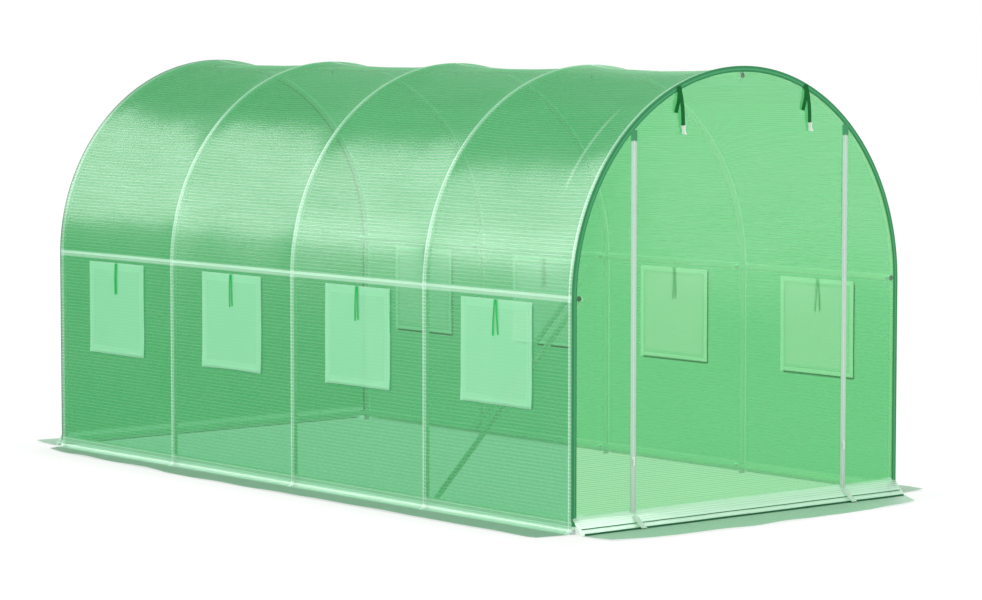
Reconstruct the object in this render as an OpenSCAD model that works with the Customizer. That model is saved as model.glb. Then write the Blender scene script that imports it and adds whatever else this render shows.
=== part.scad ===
/* [Frame] */
// Width over the outside of the hoops
tunnel_w = 2000; // [1600:50:2400]
// Height of each hoop's straight leg, up to where its arch springs
leg_h = 1000; // [850:50:1300]
// Distance from one hoop to the next
bay_l = 1000; // [850:50:1250]
// Outer diameter of every tube
tube_d = 25; // [19:1:32]
// Height of the side rails' centre lines
rail_z = 1015; // [850:5:1300]
// Height of the base tubes' centre lines
base_z = 40; // [32:2:60]

/* [Cover] */
// Thickness of the cover film
film_t = 2; // [1.5:0.5:4]
// How far the side skirts lie out over the ground
side_skirt_w = 190; // [100:10:450]
// How far the end skirts lie out over the ground
end_skirt_w = 300; // [100:10:500]
// Width of the sewn hem around each end
hem_w = 30; // [20:2:50]

/* [Door] */
// Distance of each zip from the middle
zip_x = 650; // [400:10:750]
// Width of a zip and its tape
zip_w = 30; // [16:2:40]
// Thickness of a zip
zip_t = 3; // [2:0.5:5]
// Slit between the two edges that a zip joins
slit_w = 3; // [1:0.5:6]
// How far each zip runs out over the skirt
zip_foot_l = 90; // [40:10:190]
// Distance of each hanging door strap from the middle
strap_x = 390; // [200:10:550]
// Width of a door strap
strap_w = 20; // [14:2:30]
// Thickness of every strap
strap_t = 2; // [1.5:0.5:3]
// How far below the arch's outline a door strap is sewn to the hem
strap_inset = 14; // [6:2:20]
// Length of a door strap's long tail
long_tail_l = 175; // [120:5:240]
// Length of a door strap's short tail
short_tail_l = 120; // [60:5:150]
// Height of the toggle at the foot of a long tail
toggle_h = 46; // [30:2:60]
// Width of the toggle
toggle_w = 24; // [18:2:34]
// Thickness of the toggle
toggle_t = 7; // [5:1:10]

/* [Windows] */
// Width of a window flap
flap_w = 490; // [380:10:600]
// Height of a window flap
flap_h = 465; // [350:5:600]
// Distance from a side rail's centre line down to a flap's top edge
flap_drop = 30; // [20:2:60]
// How much a flap overlaps the hole behind it on every side
flap_lap = 40; // [20:2:60]
// How much the insect mesh overlaps the hole on every side
mesh_lap = 15; // [8:1:19]
// Thickness of the insect mesh
mesh_t = 1.5; // [1:0.5:2]
// Width of the tie that holds a rolled-up flap
tie_w = 18; // [10:2:26]
// Length of the tie
tie_l = 160; // [100:5:220]

/* [Hidden] */
$fn = 96;
BAYS = 4;
SEAT = 0.2;        // clearance between tubes that bear on each other
FILM_GAP = 0.3;    // clearance between the film and what it lies on
JOINT_ANGLE = 45;  // where a hoop's crown plugs into its legs
TAIL_LEAN = 8;     // angle at which each tail of a door strap hangs away from the plumb line

TUBE_COLOUR = "#cfd6d3";
COVER_COLOUR = "#5fae6c";
END_COLOUR = "#69b274";
SKIRT_COLOUR = "#57a465";
FLAP_COLOUR = "#4fae5c";
MESH_COLOUR = "#2f7f4b";
HEM_COLOUR = "#1f5b3c";
ZIP_COLOUR = "#dfe6e2";
STRAP_COLOUR = "#1d6b45";
TOGGLE_COLOUR = "white";

tube_r = tube_d / 2;
half_w = tunnel_w / 2;
arch_r = half_w - tube_r;
half_l = BAYS * bay_l / 2;
joint_gap_angle = SEAT / arch_r * 180 / PI;

// Lines of tubes, each bearing on the inner side of the one before it
rail_x = arch_r - tube_d - SEAT;
brace_x = rail_x - tube_d - SEAT;
ridge_z = leg_h + rail_x;
bar_y = half_l - tube_d - SEAT;

// Film surfaces, from the inside out
film_in = half_w + FILM_GAP;
film_out = film_in + film_t;
end_in = half_l + tube_r + FILM_GAP;
end_out = end_in + film_t;
hem_out = end_out + strap_t;
hem_in_r = film_out - hem_w;

door_edge_x = zip_x - slit_w / 2;
strap_top_z = leg_h + sqrt(pow(film_out, 2) - pow(strap_x, 2)) - strap_inset;
zip_top_z = leg_h + sqrt(pow(hem_in_r, 2) - pow(zip_x + zip_w / 2, 2));

flap_in = film_out + FILM_GAP;
flap_out = flap_in + film_t;
tie_in = flap_out + FILM_GAP;
flap_top_z = rail_z - flap_drop;
hole_w = flap_w - 2 * flap_lap;
hole_h = flap_h - 2 * flap_lap;

function hoop_y(number) = (number - 1) * bay_l - half_l;
function window_y(number) = hoop_y(number) + bay_l / 2;

// A box given by its lowest and highest corners
module block(low, high) {
    translate(low) cube(high - low);
}

// A straight tube along the tunnel
module long_tube(x, z) {
    translate([x, -half_l - tube_r, z]) rotate([-90, 0, 0])
        cylinder(h = 2 * half_l + tube_d, r = tube_r);
}

// Turns a shape drawn in plan, around the origin, into one in the plane of a hoop
module upright(y) {
    translate([0, y, leg_h]) rotate([90, 0, 0]) children();
}

// Part of a hoop's bend, from one angle above the horizontal to another
module bent_tube(from_angle, to_angle) {
    rotate([0, 0, from_angle]) rotate_extrude(angle = to_angle - from_angle)
        translate([arch_r, 0]) circle(r = tube_r);
}

// A leg with its bend: side is 1 on the right and -1 on the left
module hoop_leg(side, y) {
    first_angle = side > 0 ? 0 : 180 - JOINT_ANGLE;
    translate([side * arch_r, y, 0]) cylinder(h = leg_h, r = tube_r);
    upright(y) bent_tube(first_angle, first_angle + JOINT_ANGLE);
}

// A hoop of two legs and the crown that plugs into them
module hoop(number) {
    y = hoop_y(number);
    color(TUBE_COLOUR) {
        hoop_leg(-1, y);
        hoop_leg(1, y);
        upright(y) bent_tube(JOINT_ANGLE + joint_gap_angle, 180 - JOINT_ANGLE - joint_gap_angle);
    }
}

module ridge_tube() {
    color(TUBE_COLOUR) long_tube(0, ridge_z);
}

module side_rail(side) {
    color(TUBE_COLOUR) long_tube(side * rail_x, rail_z);
}

module base_rail(side) {
    color(TUBE_COLOUR) long_tube(side * rail_x, base_z);
}

// A cross bar on the ground line of one end: end is 1 at the back and -1 at the front
module base_bar(end) {
    reach = rail_x - tube_r - SEAT;
    color(TUBE_COLOUR) translate([-reach, end * bar_y, base_z]) rotate([0, 90, 0])
        cylinder(h = 2 * reach, r = tube_r);
}

// A diagonal from the side rail at one hoop down to the base rail at the next hoop back
module brace(side, top_hoop) {
    rise = rail_z - base_z;
    slope = atan2(rise, bay_l);
    color(TUBE_COLOUR) translate([side * brace_x, hoop_y(top_hoop), rail_z]) rotate([-90 - slope, 0, 0])
        cylinder(h = norm([rise, bay_l]), r = tube_r);
}

// Outline of the tunnel's end with a given outer radius, standing on the skirt's top
module end_outline(radius) {
    intersection() {
        circle(r = radius);
        translate([-radius, 0]) square([2 * radius, radius]);
    }
    translate([-radius, film_t - leg_h]) square([2 * radius, leg_h - film_t]);
}

// The part of the end outline between two distances from the middle, from y_low to y_high
module end_plate(x_low, x_high, y_low, y_high) {
    upright(y_high) linear_extrude(y_high - y_low) intersection() {
        end_outline(film_out);
        translate([x_low, -leg_h]) square([x_high - x_low, leg_h + film_out]);
    }
}

// Plan of the window holes along one side, grown by lap on every edge
module window_blocks(side, x_in, x_out, lap) {
    x_low = side > 0 ? x_in : -x_out;
    for (bay = [1:BAYS])
        block([x_low, window_y(bay) - hole_w / 2 - lap, flap_top_z - flap_lap - hole_h - lap],
            [x_low + x_out - x_in, window_y(bay) + hole_w / 2 + lap, flap_top_z - flap_lap + lap]);
}

// The upright side of the cover with its window holes cut through
module cover_side(side) {
    x_low = side > 0 ? film_in : -film_out;
    color(COVER_COLOUR) difference() {
        block([x_low, -end_in, film_t], [x_low + film_t, end_in, leg_h]);
        window_blocks(side, film_in - film_t, film_out + film_t, 0);
    }
}

// One length of the arched cover between two angles above the horizontal
module roof_strip(from_angle, to_angle) {
    color(COVER_COLOUR) upright(0) rotate([0, 0, from_angle]) rotate_extrude(angle = to_angle - from_angle)
        translate([film_in, -end_in]) square([film_t, 2 * end_in]);
}

module front_panel(side) {
    x_low = side > 0 ? zip_x + slit_w / 2 : -film_out;
    x_high = side > 0 ? film_out : -zip_x - slit_w / 2;
    color(END_COLOUR) end_plate(x_low, x_high, -end_out, -end_in);
}

// The door between the zips, which rolls up under the door straps
module door_panel() {
    color(END_COLOUR) end_plate(-door_edge_x, door_edge_x, -end_out, -end_in);
}

module back_panel() {
    color(END_COLOUR) end_plate(-film_out, film_out, end_in, end_out);
}

// A flap of film lying out over the ground beside the tunnel
module side_skirt(side) {
    x_low = side > 0 ? film_in : -film_out - side_skirt_w;
    color(SKIRT_COLOUR) block([x_low, -end_in, 0], [x_low + film_t + side_skirt_w, end_in, film_t]);
}

// Part of the front skirt, from one distance right of the middle to another
module front_skirt(x_low, x_high) {
    color(SKIRT_COLOUR) block([x_low, -end_out - end_skirt_w, 0], [x_high, -end_in, film_t]);
}

module skirt_back() {
    color(SKIRT_COLOUR) block([-film_in, end_in, 0], [film_in, end_out + end_skirt_w, film_t]);
}

// The sewn edge around one end, on the panel's outer face
module hem(end) {
    color(HEM_COLOUR) upright(end > 0 ? hem_out : -end_out) linear_extrude(strap_t) difference() {
        end_outline(film_out);
        end_outline(hem_in_r);
    }
}

// A zip over the slit beside the door, with its foot out on the skirt
module door_zip(side) {
    x_low = side * zip_x - zip_w / 2;
    x_high = side * zip_x + zip_w / 2;
    color(ZIP_COLOUR) {
        block([x_low, -end_out - zip_t, film_t], [x_high, -end_out, zip_top_z]);
        block([x_low, -end_out - zip_foot_l, film_t], [x_high, -end_out, film_t + zip_t]);
    }
}

// A plate that hangs in front of the hem, from start to end below the top of a door strap
module strap_plate(side, lean, width, start, end, thickness) {
    translate([side * strap_x, -hem_out, strap_top_z]) rotate([90, 0, 0]) linear_extrude(thickness)
        rotate(lean) translate([-width / 2, -end]) square([width, end - start]);
}

// A strap that hangs from the hem with one long and one short tail
module door_strap(side) {
    color(STRAP_COLOUR) {
        strap_plate(side, TAIL_LEAN, strap_w, 0, long_tail_l, strap_t);
        strap_plate(side, -TAIL_LEAN, strap_w, 0, short_tail_l, strap_t);
    }
}

// The two white toggles at the feet of the straps' long tails
module strap_toggles() {
    start = long_tail_l + SEAT;
    color(TOGGLE_COLOUR) for (side = [-1, 1])
        strap_plate(side, TAIL_LEAN, toggle_w, start, start + toggle_h, toggle_t);
}

module window_flaps(side) {
    color(FLAP_COLOUR) window_blocks(side, flap_in, flap_out, flap_lap);
}

module window_mesh(side) {
    color(MESH_COLOUR) window_blocks(side, film_in - mesh_t, film_in, mesh_lap);
}

// The ties that hold the flaps when they are rolled up
module flap_ties(side) {
    x_low = side > 0 ? tie_in : -tie_in - strap_t;
    color(STRAP_COLOUR) for (bay = [1:BAYS])
        block([x_low, window_y(bay) - tie_w / 2, flap_top_z - tie_l],
            [x_low + strap_t, window_y(bay) + tie_w / 2, flap_top_z]);
}

hoop(1);  // hoop_1
hoop(2);  // hoop_2
hoop(3);  // hoop_3
hoop(4);  // hoop_4
hoop(5);  // hoop_5
ridge_tube();
side_rail(-1);  // side_rail_left
side_rail(1);  // side_rail_right
base_rail(-1);  // base_rail_left
base_rail(1);  // base_rail_right
base_bar(-1);  // base_bar_front
base_bar(1);  // base_bar_back
brace(-1, 1);  // brace_left
brace(1, 3);  // brace_right
cover_side(-1);  // cover_side_left
cover_side(1);  // cover_side_right
roof_strip(0, 45);  // roof_low_right
roof_strip(45, 90);  // roof_high_right
roof_strip(90, 135);  // roof_high_left
roof_strip(135, 180);  // roof_low_left
front_panel(-1);  // front_panel_left
front_panel(1);  // front_panel_right
door_panel();
back_panel();
side_skirt(-1);  // skirt_left
side_skirt(1);  // skirt_right
skirt_back();
front_skirt(-film_in, -zip_x - slit_w / 2);  // skirt_front_left
front_skirt(-door_edge_x, door_edge_x);  // skirt_front_door
front_skirt(zip_x + slit_w / 2, film_in);  // skirt_front_right
hem(-1);  // hem_front
hem(1);  // hem_back
door_zip(-1);  // zip_left
door_zip(1);  // zip_right
door_strap(-1);  // door_strap_left
door_strap(1);  // door_strap_right
strap_toggles();
window_flaps(-1);  // window_flaps_left
window_flaps(1);  // window_flaps_right
window_mesh(-1);  // window_mesh_left
window_mesh(1);  // window_mesh_right
flap_ties(-1);  // flap_ties_left
flap_ties(1);  // flap_ties_right
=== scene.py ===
"""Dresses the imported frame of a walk-in tunnel greenhouse: film, skirts, hems, zips, windows and fittings."""

import math

import bmesh
import bpy
import numpy as np
from mathutils import Matrix, Vector


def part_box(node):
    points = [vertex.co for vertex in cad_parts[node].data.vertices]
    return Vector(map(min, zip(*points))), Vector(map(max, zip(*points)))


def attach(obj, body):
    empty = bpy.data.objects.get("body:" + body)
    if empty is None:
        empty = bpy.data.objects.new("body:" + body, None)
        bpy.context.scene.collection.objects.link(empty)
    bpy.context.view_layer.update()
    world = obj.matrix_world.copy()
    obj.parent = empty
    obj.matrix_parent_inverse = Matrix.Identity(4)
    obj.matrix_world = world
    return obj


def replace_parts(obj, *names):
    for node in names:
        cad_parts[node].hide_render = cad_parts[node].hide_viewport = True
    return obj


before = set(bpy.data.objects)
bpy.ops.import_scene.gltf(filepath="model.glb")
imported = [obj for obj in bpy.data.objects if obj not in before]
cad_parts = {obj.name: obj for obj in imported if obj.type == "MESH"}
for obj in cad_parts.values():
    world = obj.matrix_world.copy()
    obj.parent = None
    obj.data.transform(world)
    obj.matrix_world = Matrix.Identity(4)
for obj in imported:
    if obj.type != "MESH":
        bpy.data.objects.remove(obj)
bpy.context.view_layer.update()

bl_info = {
    "name": "Tunnel greenhouse",
    "version": (1, 0, 0),
    "blender": (4, 5, 0),
    "location": "View3D > Sidebar > Tunnel",
    "description": "Dresses the frame of a tunnel greenhouse with its film, fastenings and fittings",
    "category": "Object",
}

BAYS = 4
SIDES = {"left": -1, "right": 1}


def middle_of(node, axis):
    """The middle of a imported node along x, y or z."""
    return sum(getattr(corner, axis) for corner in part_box(node)) / 2


# Sizes that the frame already has, in metres
HOOP_LOW, HOOP_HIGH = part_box("hoop_1")
TUBE_R = (HOOP_HIGH.y - HOOP_LOW.y) / 2
HALF_W = HOOP_HIGH.x
ARCH_R = HALF_W - TUBE_R
SPRING_Z = HOOP_HIGH.z - HALF_W
HOOP_YS = [middle_of(f"hoop_{n}", "y") for n in range(1, BAYS + 2)]
BAY_L = HOOP_YS[1] - HOOP_YS[0]
WINDOW_YS = [y + BAY_L / 2 for y in HOOP_YS[:-1]]
RIDGE_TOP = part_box("ridge_tube")[1].z
RIDGE_Z = RIDGE_TOP - TUBE_R
TUBE_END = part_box("ridge_tube")[1].y
RAIL_X = middle_of("side_rail_right", "x")
RAIL_Z = middle_of("side_rail_right", "z")
BASE_Z = middle_of("base_rail_right", "z")
FILM_R = middle_of("cover_side_right", "x")
END_Y = middle_of("back_panel", "y")
HEM_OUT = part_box("hem_back")[1].y
ZIP_LOW, ZIP_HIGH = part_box("zip_right")
ZIP_X = middle_of("zip_right", "x")
FLAP_LOW, FLAP_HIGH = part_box("window_flaps_right")
FLAP_W = FLAP_HIGH.y - FLAP_LOW.y - (BAYS - 1) * BAY_L
FLAP_H = FLAP_HIGH.z - FLAP_LOW.z
FLAP_Z = middle_of("window_flaps_right", "z")
MESH_LOW, MESH_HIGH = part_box("window_mesh_right")
MESH_W = MESH_HIGH.y - MESH_LOW.y - (BAYS - 1) * BAY_L
TIE_LOW, TIE_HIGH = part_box("flap_ties_right")

# Sizes of the film, in metres
ARC_L = math.pi * FILM_R
COVER_L = 2 * SPRING_Z + ARC_L
RIDGE_GAP = SPRING_Z + FILM_R - RIDGE_TOP  # between the ridge tube and an undrawn cover
MESH_LAP = 0.015  # how far an insect mesh reaches past its hole
HOLE_W = MESH_W - 2 * MESH_LAP
HOLE_LOW_Z = MESH_LOW.z + MESH_LAP
HOLE_HIGH_Z = MESH_HIGH.z - MESH_LAP
HOLE_H = HOLE_HIGH_Z - HOLE_LOW_Z
DOOR_EDGE = ZIP_X - 0.0012  # leaves a slit between the films at a zip
FOOT_R = 0.026  # radius at which the cover turns out on to the ground
LIE_Z = 0.003  # height at which film lies over the ground
FOOT_V = FOOT_R + LIE_Z - FOOT_R * math.pi / 2  # where the cover's foot meets the skirt, as v
SLOPE_Z = 0.072  # height at which the end film starts to slope out
SLOPE_OUT = 0.065  # how far the end film slopes out before it lies on the ground
SHADOW_STRIP_W = 0.010  # a dark strip of painted shadow; most of it lies under the flap's edge
GRID = 0.00833  # pitch of the threads in the film
RIB = 0.0022  # pitch of the ribs across a tape, and of the insect mesh


# ---------------------------------------------------------------- finishes


class Value:
    """A number in a finish, so that its sums are written as sums."""

    def __init__(self, finish, socket):
        self.finish = finish
        self.socket = socket

    def __add__(self, other):
        return self.finish.math("ADD", self, other)

    def __sub__(self, other):
        return self.finish.math("SUBTRACT", self, other)

    def __rsub__(self, other):
        return self.finish.math("SUBTRACT", other, self)

    def __mul__(self, other):
        return self.finish.math("MULTIPLY", self, other)

    def __abs__(self):
        return self.finish.math("ABSOLUTE", self)

    __radd__ = __add__
    __rmul__ = __mul__

    def at_most(self, other):
        return self.finish.math("MINIMUM", self, other)

    def at_least(self, other):
        return self.finish.math("MAXIMUM", self, other)


class Finish:
    """A node material in the making, or the world's light."""

    def __init__(self, name, made_in=None):
        self.made = (bpy.data.materials if made_in is None else made_in).new(name)
        self.made.use_nodes = True
        self.tree = self.made.node_tree
        self.tree.nodes.clear()

    def node(self, kind, settings=None, values=None):
        """A node of one kind, its settings made first, then the values or links of its sockets."""
        made = self.tree.nodes.new(kind)
        for name, setting in (settings or {}).items():
            setattr(made, name, setting)
        for name, value in (values or {}).items():
            if isinstance(value, Value):
                value = value.socket
            if isinstance(value, bpy.types.NodeSocket):
                self.tree.links.new(value, made.inputs[name])
            elif made.inputs[name].type == "RGBA":
                made.inputs[name].default_value = (*value, 1.0)
            else:
                made.inputs[name].default_value = value
        return made

    def math(self, operation, *values):
        made = self.node("ShaderNodeMath", {"operation": operation}, dict(enumerate(values)))
        return Value(self, made.outputs[0])

    def blend(self, share, first, second):
        """A colour between two colours."""
        return self.node("ShaderNodeMix", {"data_type": "RGBA"}, {0: share, 6: first, 7: second}).outputs[2]

    def mix(self, share, first, second):
        """A shader between two shaders."""
        return self.node("ShaderNodeMixShader", None, {0: share, 1: first, 2: second}).outputs[0]

    def weave(self):
        """Where a point is on a sheet, in metres along its two threads, as a vector and its two numbers."""
        vector = self.node("ShaderNodeUVMap", {"uv_map": "weave"}).outputs[0]
        split = self.node("ShaderNodeSeparateXYZ", None, {0: vector})
        return vector, Value(self, split.outputs[0]), Value(self, split.outputs[1])

    def object_place(self):
        """Where a point is in the object, as a vector and its three numbers."""
        vector = self.node("ShaderNodeTexCoord").outputs["Object"]
        split = self.node("ShaderNodeSeparateXYZ", None, {0: vector})
        return vector, [Value(self, split.outputs[n]) for n in range(3)]

    def noise(self, vector, scale, detail=2.0, rough=0.5, stretch=(1, 1, 1)):
        mapped = self.node("ShaderNodeMapping", None, {"Vector": vector, "Scale": stretch}).outputs[0]
        values = {"Vector": mapped, "Scale": scale, "Detail": detail, "Roughness": rough}
        return Value(self, self.node("ShaderNodeTexNoise", None, values).outputs[0])

    def ramp(self, value, low, high):
        """0 below low, 1 above high, smooth between."""
        made = self.node("ShaderNodeMapRange", {"interpolation_type": "SMOOTHSTEP"}, {0: value, 1: low, 2: high})
        return Value(self, made.outputs[0])

    def within(self, value, low, high):
        """1 below low, 0 above high, smooth between."""
        return 1 - self.ramp(value, low, high)

    def lines(self, place, pitch, width, soft):
        """1 on lines of a width that repeat at a pitch, 0 between them."""
        return self.within(self.math("PINGPONG", place, pitch / 2), width / 2, width / 2 + soft)

    def line(self, place, width, soft):
        """1 on the one line of a width where place is 0."""
        return self.lines(place, 1.0, width, soft)

    def bump(self, height, strength, distance):
        values = {"Height": height, "Strength": strength, "Distance": distance}
        return self.node("ShaderNodeBump", None, values).outputs[0]

    def plain(self, **values):
        """A Principled shader, its sockets named with _ for a space."""
        named = {name.replace("_", " "): value for name, value in values.items()}
        return self.node("ShaderNodeBsdfPrincipled", None, named).outputs[0]

    def clear(self, colour):
        return self.node("ShaderNodeBsdfTransparent", None, {"Color": colour}).outputs[0]

    def lit_through(self, colour):
        return self.node("ShaderNodeBsdfTranslucent", None, {"Color": colour}).outputs[0]

    def scatter(self, colour, glow, rough, relief):
        """Film that throws back half of what it scatters and lets half through."""
        back = self.plain(Base_Color=colour, Roughness=rough, Specular_IOR_Level=0.2, Normal=relief)
        return self.mix(0.5, back, self.lit_through(glow))

    def done(self, shader, output="ShaderNodeOutputMaterial"):
        self.node(output, None, {0: shader})
        return self.made


def woven_film(name, tint, colours, opacity, gloss, rough=0.22, second=0.45, loose=2.5, tubes=False):
    """Clear green film with a woven grid in it, lighter over the tubes, partly as painted light, or else along its
    foot, partly as doubled film and partly as a painted sheen.

    The colours are the film's, its threads' and that of the light it lets through. Every other thread is
    weaker, by second, and loose is how strongly the film's folds show.
    """
    f = Finish(name)
    vector, along, across = f.weave()
    body, thread, glow = colours
    thick = f.lines(across, 2 * GRID, 0.0030, 0.0022)
    thin = f.lines(across + GRID, 2 * GRID, 0.0030, 0.0022)
    upright = f.lines(along, GRID, 0.0016, 0.0018) * 0.6
    threads = (thick + thin * second).at_least(upright).at_most(1.0)
    patches = f.noise(vector, 1.0, 3.0, 0.55, (1.1, 3.2, 1.0))
    streaks = f.noise(vector, 1.0, 2.0, 0.6, (3.0, 60.0, 1.0))
    fold = f.noise(vector, 1.0, 2.0, 0.5, (2.2, 5.0, 1.0))
    share = opacity * (0.38 + threads * 2.1) * (0.75 + patches * 0.50)
    relief = f.bump(threads * 0.35 + streaks * 0.12 + fold * loose, 0.12, 0.0012)
    scatter = f.scatter(f.blend(threads, body, thread), glow, 0.45 + patches * 0.1, relief)
    clear = f.clear(tint)
    if tubes:
        pale, share, lightened_lap = tube_bands_and_highlights(f, vector, along, across, share)
        # Behind a flap the cover passes a lighter, clearer tint: painted light.
        clear = f.mix(lightened_lap, clear, f.clear((0.84, 0.97, 0.89)))
    else:
        _, (_, _, z) = f.object_place()
        # Along the foot the film turns lighter: partly doubled film over the base bar, partly a painted sheen.
        pale = f.within(z, SLOPE_Z - 0.012, SLOPE_Z + 0.020)
        share = share + pale * (0.42 + patches * 0.3)
    # Where pale is high the film scatters a light colour: painted light over the tubes and at the foot, with the film's
    # real paleness there.
    scatter = f.mix(pale, scatter, f.scatter((0.78, 0.98, 0.86), (0.74, 0.98, 0.83), 0.5, relief))
    base = f.mix(share.at_most(1.0), clear, scatter)
    smooth = f.bump(streaks * 0.10 + fold * loose, 0.10, 0.0012)
    edge_on = Value(f, f.node("ShaderNodeLayerWeight", None, {"Blend": 0.5, "Normal": smooth}).outputs["Facing"])
    mirror = f.math("POWER", edge_on, 5.0) * 0.22 + 0.045
    uneven = 0.45 + streaks * 0.5 + threads * 0.35 + patches * 0.5
    shine = f.plain(Base_Color=(0.93, 1.0, 0.95), Metallic=1.0, Roughness=rough + (1 - threads) * 0.05, Normal=smooth)
    return f.done(f.mix((mirror * gloss * uneven).at_most(0.9), base, shine))


def tube_bands_and_highlights(f, vector, along, across, share):
    """How light the cover is over the tubes and along painted highlights, its share of film, and where it backs a flap.
    Over the tubes this is partly the film pressed on them and partly painted light. The lines at the hoops' sides,
    along the rails' tops and behind the front hoop are painted highlights, and behind a flap the cover is cleared as
    painted light.
    """
    near, far = TUBE_R * 0.95, TUBE_R * 1.35
    from_hoop = f.math("PINGPONG", along, BAY_L / 2)
    height = f.math("PINGPONG", across, COVER_L / 2)
    # hoop, rail, base and ridge are lighter bands where the film lies on the tubes: partly the film pressed on the pale
    # tubes, partly painted light for the lit tubes seen through it.
    hoop = f.within(from_hoop, near, far)
    # edge is a painted highlight: a light line down one side of every hoop.
    edge = f.lines(along - TUBE_R * 0.62, BAY_L, 0.0050, 0.0030)
    rail = f.within(abs(height - RAIL_Z), near, far)
    # crest is a painted highlight: a light line along the top of each rail.
    crest = f.within(abs(height - (RAIL_Z + TUBE_R * 0.45)), 0.0035, 0.0060)
    base = f.within(height, BASE_Z + TUBE_R, BASE_Z + TUBE_R * 2)
    ridge = f.within(abs(across - COVER_L / 2), TUBE_R * 0.70, TUBE_R * 1.05)
    low, high = SPRING_Z + 0.45 * FILM_R, SPRING_Z + 1.05 * FILM_R
    over_arch = f.ramp(across, low, low + 0.1) * f.within(across, high - 0.2, high)
    # crease is a painted highlight: a light streak across the roof behind the front hoop.
    crease = f.lines(along - HOOP_YS[0] - 0.19, 40.0, 0.008, 0.014) * over_arch
    haze = f.ramp(f.noise(vector, 1.0, 3.0, 0.6, (2.6, 4.0, 1.0)), 0.30, 0.66) * 0.015
    # Behind a flap the cover is cleared, so that the flap looks as light over film as over its hole: painted light.
    lightened_lap = f.within(abs(from_hoop - BAY_L / 2), FLAP_W / 2 - 0.004, FLAP_W / 2) * f.within(
        abs(height - FLAP_Z), FLAP_H / 2 - 0.004, FLAP_H / 2)
    # These bands and painted highlights also thicken the film where they lie.
    bands_and_highlights = hoop * 0.22 + edge * 0.24 + rail * 0.34 + crest * 0.28 + base * 0.20 + crease * 0.14 + ridge * 0.34
    pale = (hoop * 0.8 + edge + rail + crest + base + crease * 0.8 + ridge + haze * 3.5).at_most(1.0)
    return pale, share * (1 - lightened_lap * 0.85) + bands_and_highlights + haze, lightened_lap


def tube_finish():
    """Powder-coated thin steel tube, pale grey, with a few scuffs."""
    f = Finish("tube_coat")
    vector, _ = f.object_place()
    cloud = f.noise(vector, 14.0, 3.0)
    scuff = f.ramp(f.noise(vector, 90.0, 4.0, 0.6, (1.0, 0.25, 1.0)), 0.62, 0.72)
    colour = f.blend(cloud, (0.90, 0.93, 0.91), (0.96, 0.97, 0.96))
    colour = f.blend(scuff * 0.30, colour, (0.62, 0.65, 0.63))
    grain = f.bump(f.noise(vector, 260.0, 2.0), 0.03, 0.0002)
    rough = 0.50 + cloud * 0.10 + scuff * 0.1
    return f.done(f.plain(Base_Color=colour, Roughness=rough, Specular_IOR_Level=0.35, Normal=grain))


def tape_finish(name, dark, light, edge=None):
    """Woven tape or webbing, ribbed across, with lighter ribs, and, where asked, a painted highlight: a line of another
    colour along it.
    """
    f = Finish(name)
    vector, along, across = f.weave()
    ribs = f.lines(along, RIB, RIB * 0.35, RIB * 0.3)
    wales = f.lines(across, RIB * 1.5, RIB * 0.4, RIB * 0.4)
    cloud = f.noise(vector, 22.0, 3.0)
    colour = f.blend(ribs * 0.5 + cloud * 0.5, dark, light)
    if edge is not None:
        # edge gives a painted highlight: a lighter line along the tape.
        middle, width, highlight_colour = edge
        colour = f.blend(f.line(across - middle, width, width * 0.6) * 0.7, colour, highlight_colour)
    return f.done(f.plain(Base_Color=colour, Roughness=0.78 + cloud * 0.12, Specular_IOR_Level=0.12,
                          Normal=f.bump(ribs + wales * 0.6, 0.35, 0.0006)))


def flap_finish():
    """The doubled film of a window flap: pale and smooth, with its hem folded over all round and a painted highlight
    along its rim.
    """
    f = Finish("flap_film")
    vector, along, across = f.weave()
    thick = f.lines(across, 2 * GRID, 0.003, 0.002)
    thin = f.lines(across + GRID, 2 * GRID, 0.002, 0.002) * 0.6
    upright = f.lines(along, GRID, 0.0016, 0.0016) * 0.5
    threads = (thick + thin).at_least(upright).at_most(1.0) * 0.7
    cloud = f.noise(vector, 6.0, 3.0)

    def border(from_side, from_top, soft, width=FLAP_W, height=FLAP_H):
        """1 nearer the sides than one distance or nearer the top and foot than another."""
        side, top = width / 2 - from_side, height / 2 - from_top
        return f.ramp(abs(along), side, side + soft).at_least(f.ramp(abs(across), top, top + soft))

    hem = border(0.0265, 0.0185, 0.002)
    # The flap is lighter where it lies over film beyond its hole, to even out the shade of the film behind it: painted
    # light.
    lightened_lap = border(0.003, 0.003, 0.006, HOLE_W, HOLE_H)
    # rim is a painted highlight: a light band round the flap's edge, blended in below.
    rim = border(0.006, 0.006, 0.004)
    stitch = f.line(abs(along) - (FLAP_W / 2 - 0.024), 0.0022, 0.002).at_least(
        f.line(abs(across) - (FLAP_H / 2 - 0.016), 0.0016, 0.002) * 0.6)
    colour = f.blend(threads * 0.5 + cloud * 0.3, (0.30, 0.86, 0.46), (0.41, 0.93, 0.57))
    colour = f.blend(lightened_lap * 0.35, colour, (0.46, 1.0, 0.63))
    colour = f.blend(stitch * 0.40, colour, (0.18, 0.62, 0.32))
    colour = f.blend(rim * 0.6, colour, (0.72, 0.95, 0.80))
    relief = f.bump(threads * 0.4 + hem * 2.0 - stitch * 1.5 + cloud * 2.0, 0.3, 0.001)
    plain = f.plain(Base_Color=colour, Roughness=0.42 + cloud * 0.1, Normal=relief)
    scatter = f.mix(0.52, plain, f.lit_through((0.84, 0.95, 0.88)))
    return f.done(f.mix(0.74 + threads * 0.05 + lightened_lap * 0.06, f.clear((0.85, 0.98, 0.89)), scatter))


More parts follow.
